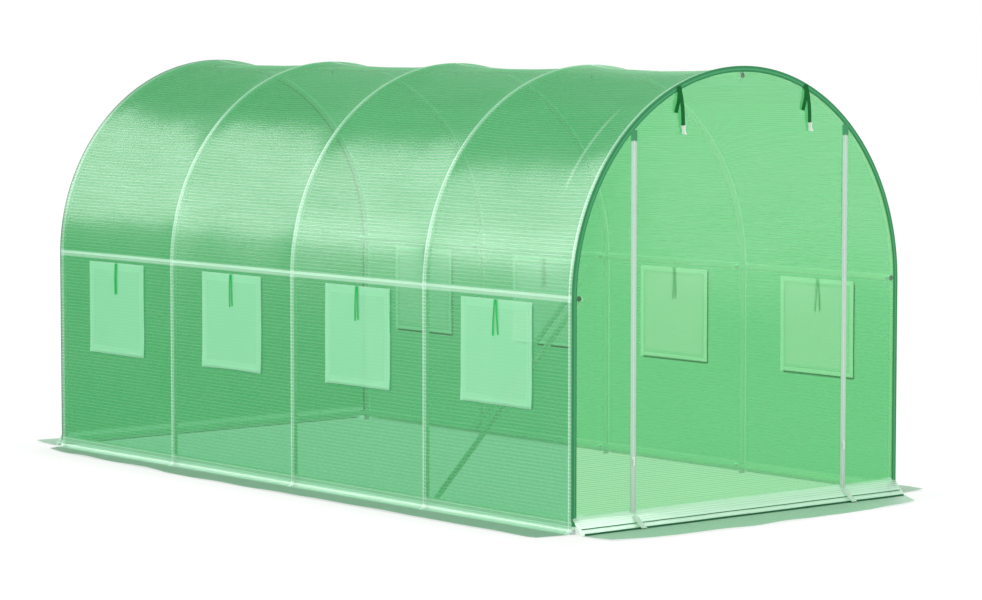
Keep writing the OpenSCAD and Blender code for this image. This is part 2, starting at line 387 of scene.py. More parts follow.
def skirt_finish(name="skirt_film", shade=(0.15, 0.31, 0.20), light=(0.26, 0.42, 0.31)):
    """Film that lies on the ground, greyed with dust, with its woven grid and soft creases."""
    f = Finish(name)
    vector, along, across = f.weave()
    thick = f.lines(across, 2 * GRID, 0.003, 0.0025)
    upright = f.lines(along, 2 * GRID, 0.0022, 0.0022)
    threads = (thick * 0.8 + upright * 0.6).at_most(1.0)
    dust = f.noise(vector, 3.0, 4.0, 0.6)
    crease = f.noise(vector, 1.0, 2.0, 0.5, (5.0, 14.0, 1.0))
    colour = f.blend(threads * 0.5 + dust * 0.5, shade, light)
    relief = f.bump(threads * 0.6 + crease * 4.0, 0.3, 0.0015)
    plain = f.plain(Base_Color=colour, Roughness=0.36 + dust * 0.2, Normal=relief)
    return f.done(f.mix(0.55 + threads * 0.20 + dust * 0.1, f.clear((0.42, 0.66, 0.50)), plain))


def mesh_finish():
    """Fine green insect mesh."""
    f = Finish("insect_mesh")
    vector, along, across = f.weave()
    threads = f.lines(along, RIB, 0.0007, 0.0004).at_least(f.lines(across, RIB, 0.0007, 0.0004))
    colour = f.blend(f.noise(vector, 9.0), (0.10, 0.42, 0.20), (0.18, 0.55, 0.29))
    thread = f.plain(Base_Color=colour, Roughness=0.6, Normal=f.bump(threads, 0.4, 0.0003))
    return f.done(f.mix(0.04 + threads * 0.22, f.clear((0.93, 0.99, 0.95)), thread))


def zip_tape_finish():
    """The pale woven tape of a zip, greener at its edges, where it's sewn to the film."""
    f = Finish("zip_tape")
    vector, along, across = f.weave()
    ribs = f.lines(along, 0.004, 0.0014, 0.001)
    cloud = f.noise(vector, 12.0, 3.0)
    edge = f.ramp(abs(across), 0.0085, 0.0125)
    stitch = f.line(abs(across) - 0.0105, 0.0012, 0.0008) * f.lines(along, 0.006, 0.0036, 0.0006)
    colour = f.blend(ribs * 0.3 + cloud * 0.3, (0.41, 0.64, 0.47), (0.56, 0.73, 0.60))
    colour = f.blend(edge * 0.65, colour, (0.34, 0.62, 0.43))
    colour = f.blend(stitch * 0.7, colour, (0.85, 0.92, 0.87))
    relief = f.bump(ribs + stitch * 2.0, 0.3, 0.0006)
    return f.done(f.plain(Base_Color=colour, Roughness=0.55 + cloud * 0.1, Normal=relief))


def zip_teeth_finish():
    """The moulded teeth of a zip."""
    f = Finish("zip_teeth")
    vector, along, _ = f.weave()
    teeth = f.lines(along, 0.0042, 0.0020, 0.0008)
    colour = f.blend(teeth, (0.46, 0.52, 0.49), (0.86, 0.90, 0.87))
    rough = 0.34 + f.noise(vector, 20.0) * 0.08
    return f.done(f.plain(Base_Color=colour, Roughness=rough, Normal=f.bump(teeth, 0.8, 0.0012)))


def moulded_finish(name, dark, light, rough):
    """Moulded plastic with a faint cloud and fine grain."""
    f = Finish(name)
    vector, _ = f.object_place()
    cloud = f.noise(vector, 60.0, 3.0)
    grain = f.bump(f.noise(vector, 1400.0, 2.0), 0.12, 0.0002)
    return f.done(f.plain(Base_Color=f.blend(cloud, dark, light), Roughness=rough + cloud * 0.12, Normal=grain))


def plated_finish():
    """Zinc-plated steel for bolts and feet."""
    f = Finish("zinc_plate")
    vector, _ = f.object_place()
    cloud = f.noise(vector, 120.0, 4.0)
    return f.done(f.plain(Base_Color=f.blend(cloud, (0.52, 0.54, 0.55), (0.72, 0.74, 0.74)), Metallic=1.0,
                          Roughness=0.28 + cloud * 0.2, Normal=f.bump(cloud, 0.1, 0.0004)))


COVER_COLOURS = (0.12, 0.44, 0.20), (0.42, 0.82, 0.53), (0.16, 0.50, 0.24)
# The front end's film is a clearer, lighter copy of the cover film, because the front end is lit: painted light.
LIT_END_COLOURS = (0.12, 0.50, 0.22), (0.34, 0.76, 0.44), (0.20, 0.58, 0.30)
MAKERS = {
    "cover": lambda: woven_film("cover_film", settings().cover_tint, COVER_COLOURS, 0.145, 0.5, tubes=True),
    "back": lambda: woven_film("back_film", settings().back_tint, COVER_COLOURS, 0.145, 0.5),
    "end": lambda: woven_film(
        "end_film", settings().lit_end_tint, LIT_END_COLOURS, 0.12, 0.7, rough=0.13, second=0.9, loose=0.7),
    "skirt": skirt_finish,
    "end_skirt": lambda: skirt_finish("end_skirt_film", (0.30, 0.52, 0.37), (0.46, 0.66, 0.52)),
    "back_hem": lambda: skirt_finish("back_hem_film", (0.10, 0.40, 0.19), (0.20, 0.54, 0.30)),
    "back_fold": lambda: skirt_finish("back_fold_film", (0.38, 0.72, 0.49), (0.54, 0.85, 0.63)),
    "flap": flap_finish,
    "mesh": mesh_finish,
    "tube": tube_finish,
    # The hem's lighter line along its middle is a painted highlight.
    "hem": lambda: tape_finish("hem_tape", (0.026, 0.20, 0.070), (0.052, 0.30, 0.115),
                               edge=(-0.012, 0.005, (0.10, 0.42, 0.20))),
    "cap": lambda: tape_finish("zip_cap_tape", (0.05, 0.26, 0.11), (0.09, 0.36, 0.17)),
    # A dark strip laid where a flap's shadow falls: painted shadow.
    "flap_shadow_strip": lambda: tape_finish("window_tape", (0.050, 0.30, 0.12), (0.10, 0.42, 0.20)),
    "strap": lambda: tape_finish("strap_web", (0.003, 0.095, 0.016), (0.008, 0.16, 0.034)),
    "tie": lambda: tape_finish("tie_web", (0.012, 0.36, 0.070), (0.040, 0.58, 0.150)),
    # The front fold's dark colour is partly doubled film and partly painted shade in the crease.
    "seam": lambda: tape_finish("seam_fold", (0.012, 0.10, 0.04), (0.04, 0.20, 0.09)),
    "zip_tape": zip_tape_finish,
    "zip_teeth": zip_teeth_finish,
    "white": lambda: moulded_finish("toggle_plastic", (0.82, 0.84, 0.83), (0.90, 0.91, 0.90), 0.28),
    "black": lambda: moulded_finish("cap_plastic", (0.010, 0.014, 0.012), (0.030, 0.036, 0.032), 0.42),
    "zinc": plated_finish,
}
FINISHES = {}


def finish(name):
    """One of the finishes, made the first time it's asked for."""
    if name not in FINISHES:
        FINISHES[name] = MAKERS[name]()
    return FINISHES[name]


def settings():
    return bpy.context.scene.tunnel


# ---------------------------------------------------------------- sheets and tapes


def coat(piece, finish_name):
    """Gives a piece its finish and carries it on the one body."""
    piece.data.materials.clear()
    piece.data.materials.append(finish(finish_name))
    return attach(piece, "root")


def linked(name, mesh):
    piece = bpy.data.objects.new(name, mesh)
    bpy.context.scene.collection.objects.link(piece)
    return piece


def knit(name, points, weave, finish_name, keep=None, flip=False):
    """A sheet from rows of points, with its threads' places as a UV map in metres. keep says which cells are there."""
    rows, cols = points.shape[:2]
    number = np.arange(rows * cols).reshape(rows, cols)
    cells = np.stack([number[:-1, :-1], number[:-1, 1:], number[1:, 1:], number[1:, :-1]], -1)
    if flip:
        cells = cells[..., ::-1]
    cells = cells.reshape(-1, 4) if keep is None else cells[keep]
    used, cells = np.unique(cells, return_inverse=True)
    cells = cells.reshape(-1, 4)
    mesh = bpy.data.meshes.new(name)
    mesh.from_pydata(points.reshape(-1, 3)[used].tolist(), [], cells.tolist())
    layer = mesh.uv_layers.new(name="weave")
    layer.data.foreach_set("uv", weave.reshape(-1, 2)[used][cells.reshape(-1)].astype(np.float32).ravel())
    mesh.polygons.foreach_set("use_smooth", [True] * len(mesh.polygons))
    return coat(linked(name, mesh), finish_name)


def tape(name, path, across, out, section, finish_name):
    """A tape that follows a path. section lists its outline as (across, out) in metres, in order round it."""
    section = np.asarray(section, float)
    rings = path[:, None] + across[:, None] * section[None, :, :1] + out[:, None] * section[None, :, 1:]
    count, sides = rings.shape[:2]
    run = np.concatenate([[0], np.cumsum(steps_of(path))])
    faces = []
    for i in range(count - 1):
        for j in range(sides):
            k = (j + 1) % sides
            faces.append((i * sides + j, i * sides + k, (i + 1) * sides + k, (i + 1) * sides + j))
    faces.append(tuple(range(sides))[::-1])
    faces.append(tuple((count - 1) * sides + j for j in range(sides)))
    mesh = bpy.data.meshes.new(name)
    mesh.from_pydata(rings.reshape(-1, 3).tolist(), [], faces)
    layer = mesh.uv_layers.new(name="weave")
    for loop in mesh.loops:
        ring, side = divmod(loop.vertex_index, sides)
        layer.data[loop.index].uv = (run[ring], section[side][0])
    shape = bmesh.new()
    shape.from_mesh(mesh)
    bmesh.ops.recalc_face_normals(shape, faces=shape.faces)
    shape.to_mesh(mesh)
    shape.free()
    piece = linked(name, mesh)
    smooth_by(piece, 40)
    return coat(piece, finish_name)


def steps_of(path):
    return np.linalg.norm(np.diff(path, axis=0), axis=1)


def unit(vectors):
    return vectors / np.linalg.norm(vectors, axis=1)[:, None]


def heading(path):
    """The direction of a path at each of its points."""
    return unit(np.gradient(path, axis=0))


def outward(along, across):
    """The direction out of the front at each point of a tape that lies on it."""
    out = unit(np.cross(along, across))
    return out * np.sign(-out[:, 1:2])


def flat_section(width, thickness):
    """The outline of a flat tape with rounded edges."""
    half, rim = width / 2, min(thickness / 2, width / 4)
    top = [(x, thickness) for x in (-half + rim, -half / 2, 0, half / 2, half - rim)]
    return [(-half, rim)] + top + [(half, rim), (half - rim, 0), (-half + rim, 0)]


def bead_section(width, height):
    """The outline of a rounded bead on a flat back."""
    return [(-math.cos(a) * width / 2, math.sin(a) * height) for a in np.linspace(0, math.pi, 9)]


def spaced(low, high, step):
    return np.linspace(low, high, max(2, int(round((high - low) / step)) + 1))


def waves(a, b, seed, scale=1.0):
    """A smooth uneven field over two measures, the same every time, of about +-1."""
    generator = np.random.default_rng(seed)
    total = np.zeros(np.broadcast(a, b).shape)
    for _ in range(7):
        angle = generator.uniform(0, math.pi)
        length = generator.uniform(0.18, 0.9) * scale
        phase = generator.uniform(0, 2 * math.pi)
        place = a * math.cos(angle) + b * math.sin(angle)
        total += np.sin(place * 2 * math.pi / length + phase) * length / scale
    return total / 2.2


def bay_sag(y):
    """0 over a hoop and 1 halfway to the next one, as the film is drawn in between hoops."""
    reach = 0.12
    away = np.min([np.abs(y - hoop) for hoop in HOOP_YS], axis=0)
    away = np.where(np.abs(y) > HOOP_YS[-1], 0.0, away)
    softened = away * away / (away + 0.012)
    return (1 - np.exp(-softened / reach)) / (1 - math.exp(-BAY_L / 2 / reach))


def cover_outline(v):
    """A point of the cover's outline and its outward direction, at v metres up from its left foot."""
    turn = np.clip((v - SPRING_Z) / FILM_R, 0, math.pi)
    x = -np.cos(turn) * FILM_R
    z = np.where(v < SPRING_Z, v, np.where(v > SPRING_Z + ARC_L, COVER_L - v, SPRING_Z + np.sin(turn) * FILM_R))
    return x, z, -np.cos(turn), np.sin(turn)


def cover_draw(v):
    """How far the film is drawn in halfway between hoops, in metres."""
    wall_draw = 0.0085
    turn = np.clip((v - SPRING_Z) / FILM_R, 0, math.pi)
    crest = RIDGE_GAP - 0.0006
    height = np.minimum(v, COVER_L - v)
    wall = wall_draw * np.clip((height - 0.10) / 0.5, 0, 1) ** 1.5
    roof = wall + (crest - wall_draw) * np.clip(np.sin(turn) * 1.25, 0, 1) ** 1.2
    return np.where(height < SPRING_Z, wall, np.minimum(roof, crest))


def cover_points(y, v):
    """Points of the cover's surface. Their UV place is (y, v)."""
    x, z, out_x, out_z = cover_outline(v)
    loose = bay_sag(y)
    height = np.minimum(v, COVER_L - v)
    ripple = 0.0011 * waves(y, v, 11) * loose * np.clip((height - 0.08) / 0.25, 0, 1)
    ripple = ripple + 0.0010 * waves(y + 0.35 * v, v * 0.3, 5, 0.55) * loose * np.clip((height - 1.0) / 0.5, 0, 1)
    inward = cover_draw(v) * loose - ripple
    crest = np.clip(1 - np.abs(x) / 0.09, 0, 1)
    inward = np.minimum(inward, RIDGE_GAP - 0.0004 + (1 - crest))
    return np.stack([x - out_x * inward, np.broadcast_to(y, x.shape), z - out_z * inward], -1)


def foot_bend(points, v):
    """Turns the lowest part of the cover outwards, on to the ground, as the film does at its foot."""
    bent = points.copy()
    side = np.where(v < COVER_L / 2, -1.0, 1.0)
    height = np.minimum(v, COVER_L - v)
    start = FOOT_R + LIE_Z
    turn = np.clip((start - height) / FOOT_R, 0, math.pi / 2)
    low = height < start
    bent[..., 0] = np.where(low, side * (FILM_R + FOOT_R * (1 - np.cos(turn))), bent[..., 0])
    bent[..., 2] = np.where(low, start - FOOT_R * np.sin(turn), bent[..., 2])
    return bent


def end_top(x):
    """Height of the end film's top edge at a distance from the middle."""
    return SPRING_Z + np.sqrt(np.maximum(FILM_R**2 - np.asarray(x, float) ** 2, 0.0))


def slope_share(z):
    """How far the end film has sloped out at a height: 0 at the start and 1 where it lies."""
    return np.clip((SLOPE_Z - z) / (SLOPE_Z - LIE_Z), 0, 1)


def end_points(x, z, end):
    """Points of the film across one end, which slopes out near the ground: end is 1 at the back and -1 in front."""
    ease = 0.04  # rounds the crease where the slope starts
    soft = np.sqrt(slope_share(z) ** 2 + ease**2) - ease
    out = END_Y + SLOPE_OUT * soft / (math.sqrt(1 + ease**2) - ease)
    inside = np.clip((end_top(x) - z) / 0.15, 0, 1) * np.clip((z - 0.1) / 0.3, 0, 1)
    inside = inside * np.clip((1 - np.abs(x)) / 0.12, 0, 1)
    billow = 0.0016 * waves(x, z, 23 + end, 1.3) * inside
    return np.stack([x, end * (out + np.minimum(billow, 0.0008)), z], -1)


# ---------------------------------------------------------------- modelled pieces


def pick_only(*pieces):
    bpy.ops.object.select_all(action="DESELECT")
    for piece in pieces:
        piece.select_set(True)
    bpy.context.view_layer.objects.active = pieces[0]


def smooth_by(piece, angle):
    pick_only(piece)
    bpy.ops.object.shade_smooth_by_angle(angle=math.radians(angle))


def joined(*pieces):
    pick_only(*pieces)
    if len(pieces) > 1:
        bpy.ops.object.join()
    return bpy.context.active_object


def edit(piece, kind, test):
    """Goes into edit mode with the faces, edges or verts that pass a test selected, and nothing else."""
    pick_only(piece)
    bpy.ops.object.mode_set(mode="EDIT")
    bpy.ops.mesh.select_mode(type={"faces": "FACE", "edges": "EDGE", "verts": "VERT"}[kind])
    bpy.ops.mesh.select_all(action="DESELECT")
    shape = bmesh.from_edit_mesh(piece.data)
    for part in getattr(shape, kind):
        part.select_set(bool(test(part)))
    shape.select_flush_mode()
    bmesh.update_edit_mesh(piece.data)


def leave_edit():
    bpy.ops.object.mode_set(mode="OBJECT")


def inset_push(inset, x, y, z):
    """Insets the selected faces and extrudes what is left."""
    bpy.ops.mesh.inset(thickness=inset)
    bpy.ops.mesh.extrude_region_move(TRANSFORM_OT_translate={"value": (x, y, z)})


def resize(piece, kind, test, value, centre):
    """Resizes the parts of a piece that pass a test about a centre."""
    edit(piece, kind, test)
    bpy.ops.transform.resize(value=value, center_override=centre)
    leave_edit()


def cut_up(piece, length, cuts):
    """Cuts a piece across, through its edges that are about as long as a length."""
    edit(piece, "edges", lambda e: e.calc_length() > length * 0.9)
    bpy.ops.mesh.subdivide(number_cuts=cuts)
    leave_edit()


def round_rims(piece, angle, offset, segments=2):
    """Bevels every edge sharper than an angle."""
    edit(piece, "edges", lambda e: len(e.link_faces) == 2 and e.calc_face_angle(0) > math.radians(angle))
    bpy.ops.mesh.bevel(offset=offset, segments=segments, affect="EDGES")
    leave_edit()
    smooth_by(piece, 50)


def apply_place():
    bpy.ops.object.transform_apply(location=True, rotation=True, scale=True)


def drum(name, radius, depth, vertices):
    """A drum on the origin with its axis along Z, standing on the XY plane."""
    bpy.ops.object.select_all(action="DESELECT")
    bpy.ops.mesh.primitive_cylinder_add(vertices=vertices, radius=radius, depth=depth, location=(0, 0, depth / 2))
    apply_place()
    piece = bpy.context.active_object
    piece.name = name
    return piece


def block(size, middle=(0, 0, 0)):
    bpy.ops.object.select_all(action="DESELECT")
    bpy.ops.mesh.primitive_cube_add(size=1, location=middle)
    piece = bpy.context.active_object
    piece.scale = size
    apply_place()
    return piece


def raise_top(piece, z, inset, height):
    """Insets the face at height z and raises what is left by a height, or sinks it."""
    edit(piece, "faces", lambda face: face.normal.z > 0.9 and abs(face.calc_center_median().z - z) < 1e-5)
    inset_push(inset, 0, 0, height)
    leave_edit()


def spread(piece, name, places, finish_name):
    """Copies a finished piece to every place, each with its own mesh, and joins the copies as one."""
    copies = []
    for place in places:
        copy = piece.copy()
        copy.data = piece.data.copy()
        copy.data.transform(place)
        bpy.context.scene.collection.objects.link(copy)
        copies.append(copy)
    bpy.data.objects.remove(piece)
    whole = joined(*copies)
    whole.name = name
    whole.data.name = name
    return coat(whole, finish_name)


def towards(place, direction):
    """The matrix that puts a piece's origin at a place and turns its Z axis to a direction."""
    return Matrix.Translation(Vector(place)) @ Vector(direction).to_track_quat("Z", "Y").to_matrix().to_4x4()


def tint_property(name, film, default):
    return bpy.props.FloatVectorProperty(
        name=name, description=f"Colour of light that passes {film}", subtype="COLOR", size=3, min=0, max=1,
        default=default)


def width_property(name, what, default, low, high):
    return bpy.props.FloatProperty(
        name=name, description=f"Width of {what}", unit="LENGTH", default=default, min=low, max=high)


class TunnelSettings(bpy.types.PropertyGroup):
    """Sizes and colours of the dressing that a user would change."""

    cover_tint: tint_property("Cover tint", "the cover's film", (0.24, 0.66, 0.37))
    back_tint: tint_property("Back tint", "the film of the back end", (0.15, 0.60, 0.29))
    # Painted light: the front end's tint is clearer than the cover's, because the front end is lit.
    lit_end_tint: tint_property("Front tint", "the film of the front end", (0.52, 0.91, 0.55))
    hem_width: width_property("Hem width", "the tape sewn round each end", 0.024, 0.01, 0.06)
    zip_width: width_property("Zip width", "a zip's tape", ZIP_HIGH.x - ZIP_LOW.x + 0.004, 0.01, 0.06)
    strap_width: width_property("Strap width", "a door strap", 0.023, 0.01, 0.04)
    tie_width: width_property("Tie width", "each tail of a flap's tie", 0.011, 0.004, 0.02)
    sheen_power: bpy.props.FloatProperty(
        name="Sheen lamp", description="Power of the large lamp whose sheen lies on the roof", subtype="POWER",
        default=1850.0, min=0)
    daylight: bpy.props.FloatProperty(
        name="Daylight", description="Strength of the even light from all round", default=0.93, min=0, max=2)
    lens: bpy.props.FloatProperty(
        name="Lens", description="Focal length of the camera", unit="CAMERA", default=124.2, min=20, max=300)


CAMERA_PLACE = (-10.496, -12.871, 2.161)
CAMERA_TURN = (90 - 4.554, 0, -39.79)  # in degrees
ROOM, WALL, DOOR = Vector((-0.9, 0.0, 1.4)), Vector((-1.0, -1.0, 1.2)), Vector((0.3, -2.0, 1.3))
LAMPS = (  # name, aim, azimuth and height in degrees, distance, size, power (none: as the settings say)
    ("sheen_lamp", ROOM, -31.0, 25.0, 10.0, (9.8, 6.2), None),
    ("wall_sheen_lamp", WALL, -38.4, 7.8, 8.1, (2.4, 3.6), 150.0),
    ("front_sheen_lamp", DOOR, 134.3, 9.5, 8.1, (2.6, 4.6), 90.0),
    ("foot_sheen_lamp", ROOM, 97.0, 48.0, 9.0, (6.0, 3.0), 700.0),
    ("near_lamp", ROOM, -128.0, 30.0, 11.0, (6.0, 5.0), 180.0),
    ("side_lamp", ROOM, 66.0, 28.0, 11.0, (6.0, 5.0), 190.0),
)


class TUNNEL_OT_stage(bpy.types.Operator):
    """Makes the floor, the light and the camera"""

    bl_idname = "tunnel.stage"
    bl_label = "Stage"

    def execute(self, context):
        scene = context.scene
        scene.view_settings.view_transform = "Standard"
        self.daylight(scene)
        self.floor()
        self.lamps()
        camera = linked("camera", bpy.data.cameras.new("camera"))
        camera.data.lens = settings().lens
        camera.data.clip_end = 200
        camera.location = CAMERA_PLACE
        camera.rotation_euler = [math.radians(turn) for turn in CAMERA_TURN]
        scene.camera = camera
        return {"FINISHED"}

    def seen(self, f):
        """1 for the rays that see the background itself: from the camera, from gloss and through film."""
        path = f.node("ShaderNodeLightPath")
        camera, glossy, through = [
            Value(f, path.outputs[name]) for name in ("Is Camera Ray", "Is Glossy Ray", "Is Transmission Ray")]
        return camera.at_least(glossy).at_least(through)

    def daylight(self, scene):
        f = Finish("daylight", bpy.data.worlds)
        strength = f.node("ShaderNodeMix", None, {"Factor": self.seen(f), "A": settings().daylight, "B": 1.0})
        sky = f.node("ShaderNodeBackground", None, {"Color": (1, 1, 1), "Strength": strength.outputs["Result"]})
        scene.world = f.done(sky.outputs[0], "ShaderNodeOutputWorld")

    def floor(self):
        bpy.ops.object.select_all(action="DESELECT")
        bpy.ops.mesh.primitive_plane_add(size=120, location=(0, 0, 0))
        floor = bpy.context.active_object
        floor.name = "floor"
        f = Finish("pale_floor")
        lit = f.plain(Base_Color=(0.95, 0.95, 0.95), Roughness=0.8, Specular_IOR_Level=0.0)
        white = f.node("ShaderNodeEmission", None, {"Color": (1, 1, 1), "Strength": 1.05}).outputs[0]
        _, (x, y, _) = f.object_place()
        away = (abs(x) - FILM_R).at_least(abs(y) - END_Y)
        share = self.seen(f) * (0.50 + f.ramp(away, 0.0, 0.55) * 0.50)
        floor.data.materials.append(f.done(f.mix(share, lit, white)))

    def lamps(self):
        """Area lamps. Those named sheen make gloss only, so they leave the plain light on the colours as it is."""
        for name, aim, azimuth, height, away, size, power in LAMPS:
            lamp = linked(name, bpy.data.lights.new(name, "AREA"))
            lamp.data.shape = "RECTANGLE"
            lamp.data.size, lamp.data.size_y = size
            lamp.data.energy = settings().sheen_power if power is None else power
            a, e = math.radians(azimuth), math.radians(height)
            lamp.location = aim + away * Vector((math.sin(a) * math.cos(e), math.cos(a) * math.cos(e), math.sin(e)))
            lamp.rotation_euler = (aim - lamp.location).to_track_quat("-Z", "Y").to_euler()
            lamp.visible_camera = False
            if "sheen" in name:
                lamp.visible_diffuse = False
                lamp.visible_transmission = False


class TUNNEL_OT_tubes(bpy.types.Operator):
    """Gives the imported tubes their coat"""

    bl_idname = "tunnel.tubes"
    bl_label = "Tubes"

    def execute(self, context):
        for name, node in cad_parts.items():
            if name.startswith(("hoop_", "ridge_", "side_rail", "base_rail", "base_bar", "brace_")):
                node.data.materials.clear()
                node.data.materials.append(finish("tube"))
        return {"FINISHED"}


class TUNNEL_OT_fittings(bpy.types.Operator):
    """Models the sleeves, bolts, plugs and feet of the tube frame"""

    bl_idname = "tunnel.fittings"
    bl_label = "Fittings"

    def execute(self, context):
        self.sleeves()
        self.nuts()
        self.heads()
        self.plugs()
        self.feet()
        return {"FINISHED"}

    def sleeves(self):
        """Swaged joints, where a crown plugs into its legs and one length of rail into the next."""
        length = 0.055
        plug_angle = math.radians(45)  # up from the springing of the arch, as in the frame
        from_hoop = 0.28  # how far from a hoop two lengths of rail join
        piece = drum("sleeve", TUBE_R + 0.0008, length, 40)
        for z, rise in ((length, 0.0006), (0.0, -0.0006)):
            edit(piece, "faces", lambda face: abs(face.normal.z) > 0.9 and abs(face.calc_center_median().z - z) < 1e-5)
            inset_push(0.0007, 0, 0, rise)
            leave_edit()
        cut_up(piece, length, 6)
        waist = (length * 0.28, length * 0.72)
        resize(piece, "verts", lambda v: min(abs(v.co.z - w) for w in waist) < length * 0.02, (0.965, 0.965, 1.0),
               (0, 0, length / 2))
        round_rims(piece, 50, 0.0002, 1)
        places = []
        for y in HOOP_YS:
            for side in SIDES.values():
                place = Vector((side * math.cos(plug_angle) * ARCH_R, y, SPRING_Z + math.sin(plug_angle) * ARCH_R))
                along = Vector((-side * math.sin(plug_angle), 0, math.cos(plug_angle)))
                places.append(towards(place - along * length / 2, along))
        for y in (HOOP_YS[0] + from_hoop, HOOP_YS[3] - from_hoop):
            for side in SIDES.values():
                for z in (RAIL_Z, BASE_Z):
                    places.append(towards((side * RAIL_X, y - length / 2, z), (0, 1, 0)))
            places.append(towards((0, y - length / 2, RIDGE_Z), (0, 1, 0)))
        spread(piece, "tube_sleeves", places, "tube")

    def crossings(self):
        """Where a hoop meets a rail or the ridge: the rail's centre and the direction in to the room."""
        for y in HOOP_YS:
            yield Vector((0, y, RIDGE_Z)), Vector((0, 0, -1))
            for side in SIDES.values():
                for z in (RAIL_Z, BASE_Z):
                    yield Vector((side * RAIL_X, y, z)), Vector((-side, 0, 0))

    def nuts(self):
        """A hexagon nut on its washer with the bolt's end through it."""
        nut = drum("nut", 0.0078, 0.0062, 6)
        round_rims(nut, 50, 0.0007)
        edit(nut, "faces", lambda face: face.normal.z > 0.9)
        inset_push(0.0036, 0, 0, 0.0055)
        inset_push(0.0005, 0, 0, 0.0005)
        leave_edit()
        washer = drum("washer", 0.0110, 0.0014, 30)
        round_rims(washer, 50, 0.0003, 1)
        nut.data.transform(Matrix.Translation((0, 0, 0.0012)))
        places = [towards(place + inward * (TUBE_R - 0.0012), inward) for place, inward in self.crossings()]
        spread(joined(nut, washer), "frame_nuts", places, "zinc")

    def heads(self):
        """The low round heads of the bolts, on the hoops' outer side, under the film."""
        piece = drum("head", 0.0070, 0.0008, 24)
        raise_top(piece, 0.0008, 0.0022, 0.00035)
        round_rims(piece, 40, 0.0002, 1)
        places = []
        for place, inward in self.crossings():
            start = Vector((math.copysign(HALF_W, place.x), place.y, place.z))
            if place.x == 0:
                start = Vector((0, place.y, SPRING_Z + HALF_W))
            places.append(towards(start + inward * 0.0003, -inward))
        spread(piece, "bolt_heads", places, "zinc")

    def plugs(self):
        """The plastic plugs in the open ends of the long tubes."""
        piece = drum("plug", TUBE_R - 0.0004, 0.0008, 36)
        raise_top(piece, 0.0008, 0.0035, -0.0004)
        round_rims(piece, 40, 0.0002, 1)
        places = []
        for end in (-1, 1):
            for x, z in ((0, RIDGE_Z), (RAIL_X, RAIL_Z), (-RAIL_X, RAIL_Z), (RAIL_X, BASE_Z), (-RAIL_X, BASE_Z)):
                places.append(towards((x, end * (TUBE_END + 0.0001), z), (0, end, 0)))
        spread(piece, "tube_plugs", places, "black")

    def feet(self):
        """Cups in which the hoops' legs stand."""
        piece = drum("foot", TUBE_R + 0.0016, 0.020, 40)
        raise_top(piece, 0.020, 0.0012, 0.0018)
        round_rims(piece, 40, 0.0008)
        places = [Matrix.Translation((side * ARCH_R, y, 0.0)) for y in HOOP_YS for side in SIDES.values()]
        spread(piece, "hoop_feet", places, "zinc")


def thinned(values, fixed, near, least):
    """Values apart from those that come too near a fixed one."""
    gap = np.min(np.abs(values[:, None] - np.asarray(fixed)[None]), axis=1)
    return values[(gap < near) | (gap > least)]


class TUNNEL_OT_cover(bpy.types.Operator):
    """Lays the one-piece cover over the hoops, drawn in between them, with its window holes"""

    bl_idname = "tunnel.cover"
    bl_label = "Cover"

    def execute(self, context):
        y, v = self.rows_along(), self.rows_up()
        yy, vv = np.meshgrid(y, v)
        mid_y, mid_v = (y[1:] + y[:-1]) / 2, (v[1:] + v[:-1]) / 2
        mid_v = np.minimum(mid_v, COVER_L - mid_v)
        in_y = np.any([np.abs(mid_y - middle) < HOLE_W / 2 for middle in WINDOW_YS], axis=0)
        in_v = (mid_v > HOLE_LOW_Z) & (mid_v < HOLE_HIGH_Z)
        keep = ~(in_v[:, None] & in_y[None, :])
        points = foot_bend(cover_points(yy, vv), vv)
        cover = knit("cover_film", points, np.stack([yy, vv], -1), "cover", keep, flip=True)
        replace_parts(cover, "cover_side_left", "cover_side_right", "roof_low_left", "roof_high_left",
                    "roof_high_right", "roof_low_right")
        length = COVER_L - 2 * FOOT_V
        area = 2 * END_Y * length - 2 * BAYS * HOLE_W * HOLE_H
        2 * END_Y
        return {"FINISHED"}

    def rows_along(self):
        """Where the cover's mesh is cut along the tunnel: finer at the hoops, and at the edges of the holes."""
        edges = [middle + sign * HOLE_W / 2 for middle in WINDOW_YS for sign in (-1, 1)] + [-END_Y, END_Y]
        near = np.array([-0.03, -0.018, -0.010, -0.004, 0.004, 0.010, 0.018, 0.03])
        y = np.concatenate([edges, spaced(-END_Y, END_Y, 0.026)] + [hoop + near for hoop in HOOP_YS])
        return thinned(np.unique(np.round(np.clip(y, -END_Y, END_Y), 5)), edges, 1e-5, 0.003)

    def rows_up(self):
        """Where the cover's mesh is cut across: finer at its feet, and at the edges of the holes."""
        edges = [HOLE_LOW_Z, HOLE_HIGH_Z, COVER_L - HOLE_LOW_Z, COVER_L - HOLE_HIGH_Z]
        foot = FOOT_V + np.linspace(0, 0.06, 13)
        v = np.concatenate([edges, [COVER_L / 2], foot, COVER_L - foot, spaced(0.04, COVER_L - 0.04, 0.026)])
        return thinned(np.unique(np.round(v, 5)), edges + [FOOT_V, COVER_L - FOOT_V], 1e-4, 0.004)


